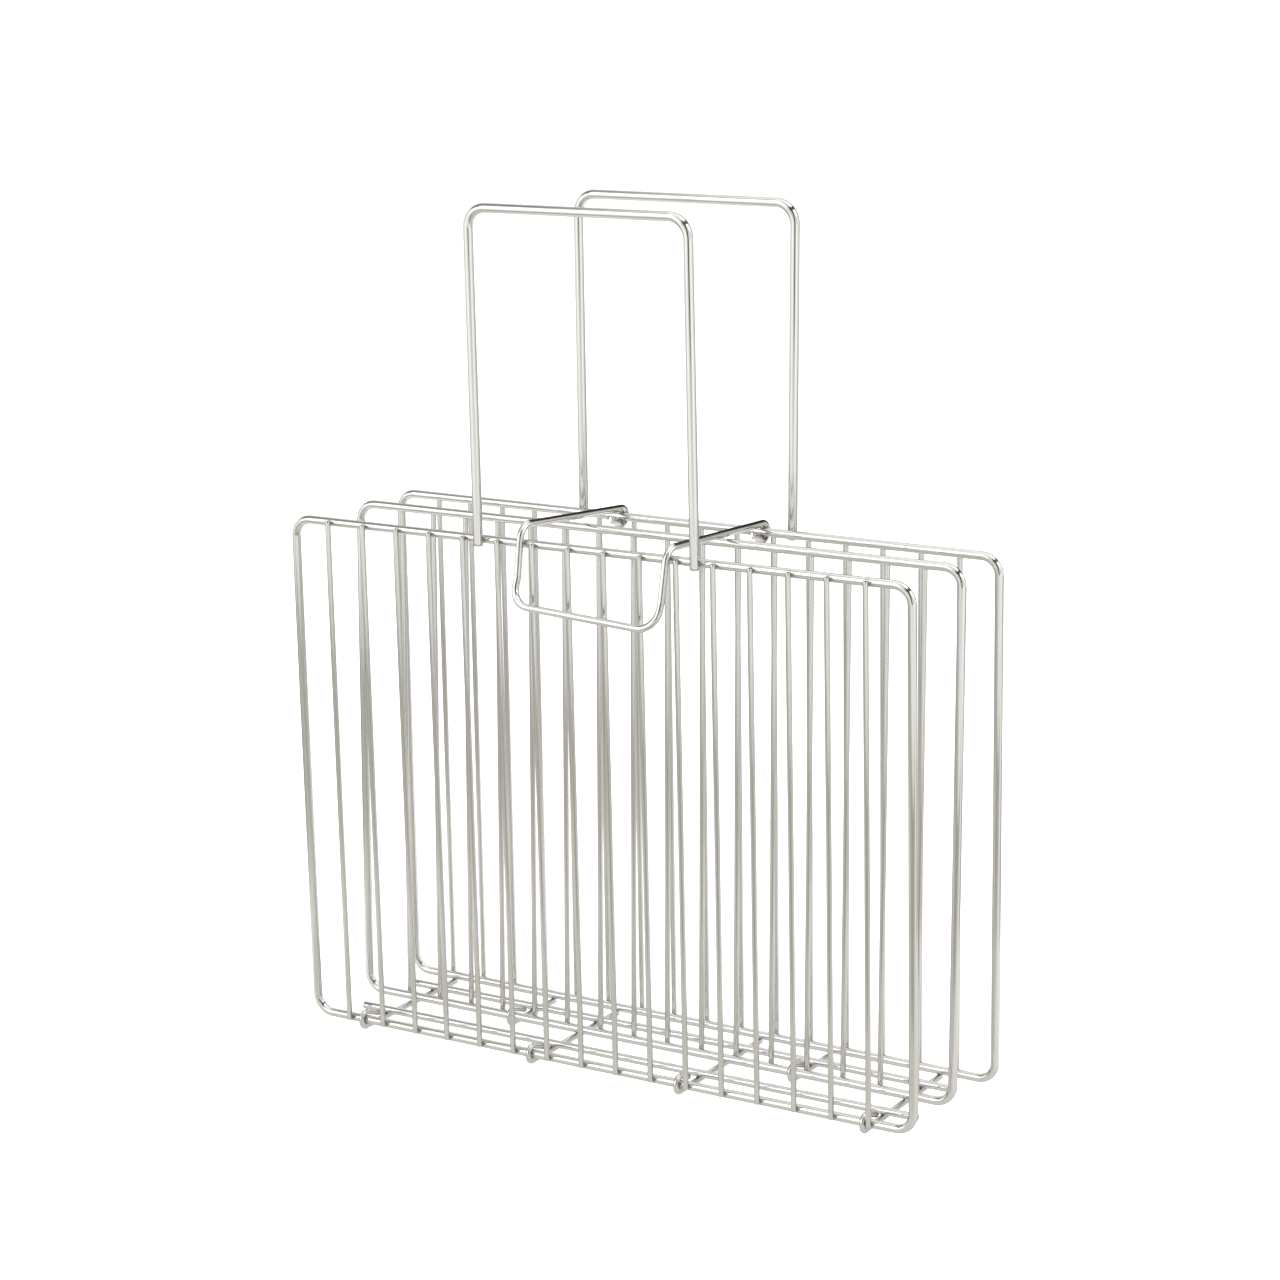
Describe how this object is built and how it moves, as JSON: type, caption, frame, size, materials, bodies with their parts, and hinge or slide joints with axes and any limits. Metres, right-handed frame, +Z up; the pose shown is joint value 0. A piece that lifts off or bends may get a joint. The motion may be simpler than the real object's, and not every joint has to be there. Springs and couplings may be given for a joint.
{
  "type": "magazine basket",
  "caption": "Steel wire magazine basket: wire panels stand on a wire base as open pockets, with tall carry handles and a swing-over bail that holds the hinged panels together.",
  "frame": {"origin": "bottom centre of the bounding box, on the floor", "axes": "+X along the rails, to the right as seen from the front; +Y to the rear, from the latched front panel to the fixed rear panel; +Z up"},
  "size_m": [0.3554, 0.1208, 0.4342],
  "materials": {
    "frame_wire": "bright drawn stainless wire, polished",
    "bar_wire": "bright drawn stainless wire, faintly duller than the frames",
    "base_wire": "bright drawn stainless wire",
    "latch_wire": "bright polished stainless wire"
  },
  "bodies": {
    "base": {"rear_panel_frame": "frame_wire", "rear_panel_bar_01": "bar_wire", "rear_panel_bar_02": "bar_wire", "rear_panel_bar_03": "bar_wire", "rear_panel_bar_04": "bar_wire", "rear_panel_bar_05": "bar_wire", "rear_panel_bar_06": "bar_wire", "rear_panel_bar_07": "bar_wire", "rear_panel_bar_08": "bar_wire", "rear_panel_bar_09": "bar_wire", "rear_panel_bar_10": "bar_wire", "rear_panel_bar_11": "bar_wire", "rear_panel_bar_12": "bar_wire", "rear_panel_bar_13": "bar_wire", "rear_panel_bar_14": "bar_wire", "rear_panel_bar_15": "bar_wire", "rear_panel_bar_16": "bar_wire", "rear_handle": "frame_wire", "cross_wire_1": "base_wire", "cross_wire_2": "base_wire", "cross_wire_3": "base_wire", "cross_wire_4": "base_wire", "front_long_wire": "base_wire", "rear_long_wire_with_middle_hinges": "base_wire"},
    "front_panel": {"front_panel_frame": "frame_wire", "front_panel_bar_01": "bar_wire", "front_panel_bar_02": "bar_wire", "front_panel_bar_03": "bar_wire", "front_panel_bar_04": "bar_wire", "front_panel_bar_05": "bar_wire", "front_panel_bar_06": "bar_wire", "front_panel_bar_07": "bar_wire", "front_panel_bar_08": "bar_wire", "front_panel_bar_09": "bar_wire", "front_panel_bar_10": "bar_wire", "front_panel_bar_11": "bar_wire", "front_panel_bar_12": "bar_wire", "front_panel_bar_13": "bar_wire", "front_panel_bar_14": "bar_wire", "front_panel_bar_15": "bar_wire", "front_panel_bar_16": "bar_wire", "front_handle": "frame_wire"},
    "middle_panel": {"middle_panel_frame": "frame_wire", "middle_panel_bar_01": "bar_wire", "middle_panel_bar_02": "bar_wire", "middle_panel_bar_03": "bar_wire", "middle_panel_bar_04": "bar_wire", "middle_panel_bar_05": "bar_wire", "middle_panel_bar_06": "bar_wire", "middle_panel_bar_07": "bar_wire", "middle_panel_bar_08": "bar_wire", "middle_panel_bar_09": "bar_wire", "middle_panel_bar_10": "bar_wire", "middle_panel_bar_11": "bar_wire", "middle_panel_bar_12": "bar_wire", "middle_panel_bar_13": "bar_wire", "middle_panel_bar_14": "bar_wire", "middle_panel_bar_15": "bar_wire", "middle_panel_bar_16": "bar_wire"},
    "latch": {"latch_bail": "latch_wire"}
  },
  "joints": [
    {"name": "front_panel_hinge", "type": "hinge", "parent": "base", "child": "front_panel", "pos_m": [-0.00005, -0.03221, 0.00509], "axis": [-1, 0, 0], "range_deg": [0, 5]},
    {"name": "middle_panel_hinge", "type": "hinge", "parent": "base", "child": "middle_panel", "pos_m": [-0.00005, 0.01309, 0.00509], "axis": [-1, 0, 0], "range_deg": [-5, 4]},
    {"name": "latch_hinge", "type": "hinge", "parent": "base", "child": "latch", "pos_m": [0.0042, 0.04574, 0.26926], "axis": [-1, -0.0001, 0.002], "range_deg": [0, 250]}
  ]
}
